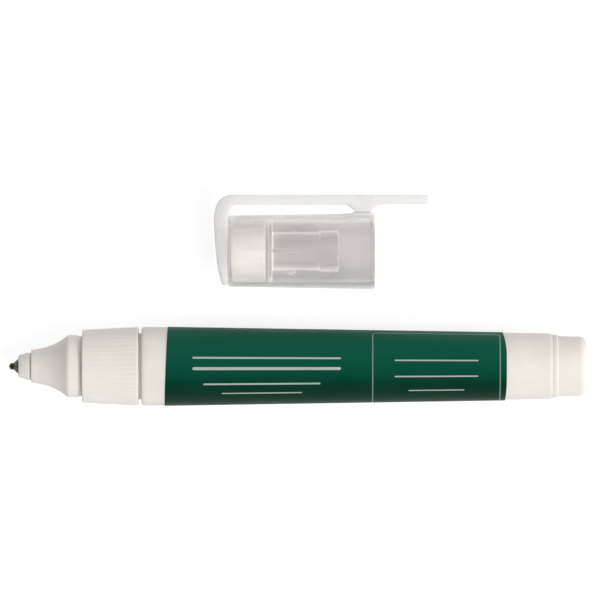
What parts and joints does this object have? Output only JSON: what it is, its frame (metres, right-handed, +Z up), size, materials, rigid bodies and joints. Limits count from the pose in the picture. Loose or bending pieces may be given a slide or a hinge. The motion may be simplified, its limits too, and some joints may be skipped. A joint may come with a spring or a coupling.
{
  "type": "correction pen",
  "caption": "Squeeze correction pen with a metal tip, ribbed screw collar and printed label, its clear clip cap taken off and lying beside it.",
  "frame": {"origin": "on the table under the middle of the box round the pen and its cap", "axes": "+X along the pen from its metal tip to its tail, +Y from the pen towards the cap, +Z up from the table"},
  "size_m": [0.1328, 0.0486, 0.0182],
  "materials": {
    "white_plastic": "satin moulded polyethylene, warm white",
    "nozzle_plastic": "smooth moulded plastic, warm white",
    "printed_label": "dark green printed film with a thin pale frame line",
    "tip_metal": "turned and polished metal",
    "steel": "bright drawn steel",
    "seal_plastic": "soft natural plastic",
    "clear_plastic": "clear moulded plastic",
    "milky_plastic": "milky moulded plastic"
  },
  "bodies": {
    "barrel": {"barrel": "white_plastic", "label": "printed_label", "tail_plug": "white_plastic"},
    "nozzle": {"nozzle": "nozzle_plastic", "tip_holder": "nozzle_plastic", "metal_tip": "tip_metal", "valve_guide": "seal_plastic", "valve_spring": "steel", "neck_seal": "seal_plastic"},
    "collar": {"ribbed_collar": "white_plastic"},
    "needle": {"valve_needle": "steel"},
    "ball": {"mixing_ball": "steel"},
    "cap": {"cap_shell": "clear_plastic", "cap_end_plug": "milky_plastic", "cap_inner_sleeve": "milky_plastic"},
    "clip": {"cap_clip": "milky_plastic"}
  },
  "joints": [
    {"name": "nozzle_draw", "type": "slide", "parent": "barrel", "child": "nozzle", "axis": [-1, 0, 0], "range_m": [0, 0.0075]},
    {"name": "collar_turn", "type": "hinge", "parent": "nozzle", "child": "collar", "pos_m": [-0.043, -0.01515, 0.00911], "axis": [-1, 0, 0], "range_deg": [0, 1080]},
    {"name": "needle_press", "type": "slide", "parent": "nozzle", "child": "needle", "axis": [1, 0, 0], "range_m": [0, 0.00035], "stiffness_N_per_m": 200, "deforming": ["valve_spring"]},
    {"name": "ball_roll", "type": "slide", "parent": "barrel", "child": "ball", "axis": [0.9999, 0, 0.0159], "range_m": [-0.0085, 0.069]},
    {"name": "cap_draw", "type": "slide", "parent": "barrel", "child": "cap", "axis": [-1, 0, 0], "range_m": [0, 0.1]},
    {"name": "clip_flex", "type": "hinge", "parent": "cap", "child": "clip", "pos_m": [-0.01682, 0.00359, 0.00881], "axis": [0, 0, 1], "range_deg": [0, 5], "stiffness_Nm_per_rad": 0.6}
  ],
  "couplings": [
    {"joint": "collar_turn", "follows": "nozzle_draw", "rad_per_m": 2513.3}
  ]
}
